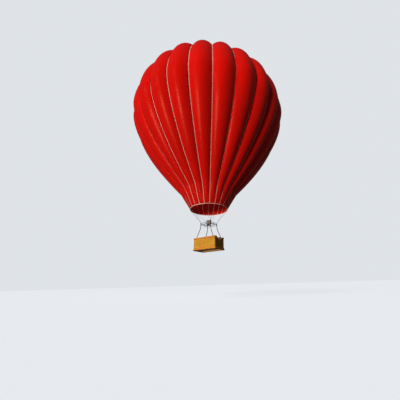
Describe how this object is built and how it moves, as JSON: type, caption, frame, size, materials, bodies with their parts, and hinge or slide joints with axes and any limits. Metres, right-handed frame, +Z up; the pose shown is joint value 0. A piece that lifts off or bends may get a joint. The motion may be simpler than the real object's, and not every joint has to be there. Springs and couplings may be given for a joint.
{
  "type": "hot air balloon",
  "caption": "Hot air balloon: puffed fabric envelope in a net of load tapes, sliding crown vent, gimballed burner in a load frame, and a wicker basket.",
  "frame": {"origin": "on the balloon's upright axis, at the height of the envelope's widest circle, where the air holds it", "axes": "+Z up, +X along the basket's long side, +Y along its short side"},
  "size_m": [16.4, 16.4, 20.339],
  "materials": {
    "red_fabric": "coated ripstop nylon, semi-gloss",
    "cream_webbing": "woven tape, matte",
    "steel": "brushed stainless",
    "dark_steel": "dark bronzed steel tube",
    "brass": "satin brass",
    "wicker": "varnished woven cane",
    "tan_leather": "worn tan hide",
    "plywood": "varnished ply",
    "ash_wood": "oiled wood",
    "grey_cover": "padded cloth sleeve",
    "red_jacket": "padded cloth jacket"
  },
  "bodies": {
    "balloon": {"gore_01": "red_fabric", "gore_02": "red_fabric", "gore_03": "red_fabric", "gore_04": "red_fabric", "gore_05": "red_fabric", "gore_06": "red_fabric", "gore_07": "red_fabric", "gore_08": "red_fabric", "gore_09": "red_fabric", "gore_10": "red_fabric", "gore_11": "red_fabric", "gore_12": "red_fabric", "gore_13": "red_fabric", "gore_14": "red_fabric", "gore_15": "red_fabric", "gore_16": "red_fabric", "gore_17": "red_fabric", "gore_18": "red_fabric", "gore_19": "red_fabric", "gore_20": "red_fabric", "gore_21": "red_fabric", "gore_22": "red_fabric", "gore_23": "red_fabric", "gore_24": "red_fabric", "load_tapes": "cream_webbing", "crown_ring": "steel", "basket_wicker": "wicker", "basket_rim": "tan_leather", "bottom_trim": "tan_leather", "basket_floor": "plywood", "runner_front": "ash_wood", "runner_rear": "ash_wood", "burner_frame": "dark_steel", "upright_front_left": "grey_cover", "upright_socket_front_left": "tan_leather", "karabiner_front_left": "steel", "flying_wires_front_left": "steel", "fuel_cylinder_front_left": "red_jacket", "upright_front_right": "grey_cover", "upright_socket_front_right": "tan_leather", "karabiner_front_right": "steel", "flying_wires_front_right": "steel", "fuel_cylinder_front_right": "red_jacket", "upright_rear_right": "grey_cover", "upright_socket_rear_right": "tan_leather", "karabiner_rear_right": "steel", "flying_wires_rear_right": "steel", "fuel_cylinder_rear_right": "red_jacket", "upright_rear_left": "grey_cover", "upright_socket_rear_left": "tan_leather", "karabiner_rear_left": "steel", "flying_wires_rear_left": "steel", "fuel_cylinder_rear_left": "red_jacket"},
    "vent": {"parachute_vent": "red_fabric"},
    "gimbal": {"gimbal_ring": "steel"},
    "burner": {"burner_block": "brass", "burner_can_left": "steel", "burner_can_right": "steel", "burner_coil_left": "steel", "burner_coil_right": "steel"}
  },
  "joints": [
    {"name": "vent_pull", "type": "slide", "parent": "balloon", "child": "vent", "axis": [0, 0, -1], "range_m": [0, 1]},
    {"name": "gimbal_tilt", "type": "hinge", "parent": "balloon", "child": "gimbal", "pos_m": [0, 0, -11.81], "axis": [1, 0, 0], "range_deg": [-12, 12]},
    {"name": "burner_tilt", "type": "hinge", "parent": "gimbal", "child": "burner", "pos_m": [0, 0, -11.81], "axis": [0, 1, 0], "range_deg": [-12, 12]}
  ]
}
